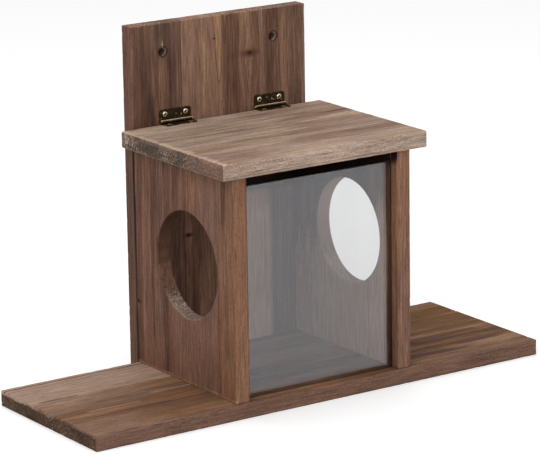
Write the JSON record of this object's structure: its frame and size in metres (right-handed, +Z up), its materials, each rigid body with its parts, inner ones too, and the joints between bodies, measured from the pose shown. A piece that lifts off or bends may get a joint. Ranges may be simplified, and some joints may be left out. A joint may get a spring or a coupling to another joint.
{
  "type": "squirrel feeder box",
  "caption": "Wooden squirrel feeder: a box with round side entries, a hinged roof and a clear sliding front pane on a long landing board.",
  "frame": {"origin": "on the underside of the landing board, in the middle of the overall length and depth", "axes": "+X along the landing board to the right, +Y back towards the wall, +Z up"},
  "size_m": [0.48, 0.184, 0.326],
  "materials": {
    "base_wood": "brown-stained edge-glued softwood, matt and weathered, grain along X",
    "back_wood": "brown-stained edge-glued softwood, matt, grain along Z",
    "side_wood": "brown-stained edge-glued softwood, matt, grain along Z, rough end grain in the round entries",
    "roof_wood": "brown-stained edge-glued softwood, weathered paler on top, rough-sawn front edge, grain along X",
    "pane_acrylic": "clear polished acrylic sheet with a light haze",
    "hinge_brass": "antique brass, satin, darkened in the corners",
    "pin_brass": "antique brass, satin",
    "hinge_screw_brass": "antique brass, satin, cross recess",
    "screw_steel": "yellow-passivated zinc plate"
  },
  "bodies": {
    "box": {"base_board": "base_wood", "back_board": "back_wood", "left_side_panel": "side_wood", "right_side_panel": "side_wood", "left_hinge_back_leaf": "hinge_brass", "left_hinge_pin": "pin_brass", "left_hinge_back_screws": "hinge_screw_brass", "right_hinge_back_leaf": "hinge_brass", "right_hinge_pin": "pin_brass", "right_hinge_back_screws": "hinge_screw_brass", "base_to_left_side_screws": "screw_steel", "base_to_right_side_screws": "screw_steel", "back_to_left_side_screws": "screw_steel", "back_to_right_side_screws": "screw_steel", "back_to_base_screws": "screw_steel"},
    "roof": {"roof_board": "roof_wood", "left_hinge_roof_leaf": "hinge_brass", "left_hinge_roof_screws": "hinge_screw_brass", "right_hinge_roof_leaf": "hinge_brass", "right_hinge_roof_screws": "hinge_screw_brass"},
    "pane": {"front_pane": "pane_acrylic"}
  },
  "joints": [
    {"name": "roof_hinge", "type": "hinge", "parent": "box", "child": "roof", "pos_m": [0, 0.0754, 0.2356], "axis": [-1, 0, 0], "range_deg": [0, 92]},
    {"name": "pane_slide", "type": "slide", "parent": "box", "child": "pane", "axis": [0, 0, 1], "range_m": [0, 0.011]}
  ]
}
